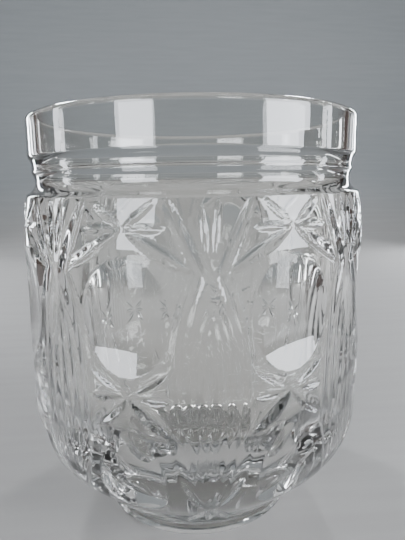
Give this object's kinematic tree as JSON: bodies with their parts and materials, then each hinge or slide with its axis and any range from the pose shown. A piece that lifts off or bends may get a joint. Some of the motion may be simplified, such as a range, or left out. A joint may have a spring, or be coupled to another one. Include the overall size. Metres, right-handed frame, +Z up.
{
  "type": "whiskey tumbler",
  "caption": "Heavy clear cut-glass old-fashioned tumbler, barrel-shaped with a plain rim band, ringed neck, deep cut lens panels, stars and oval windows, and a thick foot",
  "frame": {"origin": "Centre of the foot's underside, on the surface that the tumbler stands on", "axes": "+Z is up, along the tumbler's axis, out of its mouth. The cut pattern repeats every 45 degrees about Z, with a lens panel centred on -Y, which is the front."},
  "size_m": [0.0842, 0.0842, 0.098],
  "materials": {
    "crystal": "polished clear crystal"
  },
  "bodies": {
    "root": {"tumbler": "crystal"}
  },
  "joints": []
}
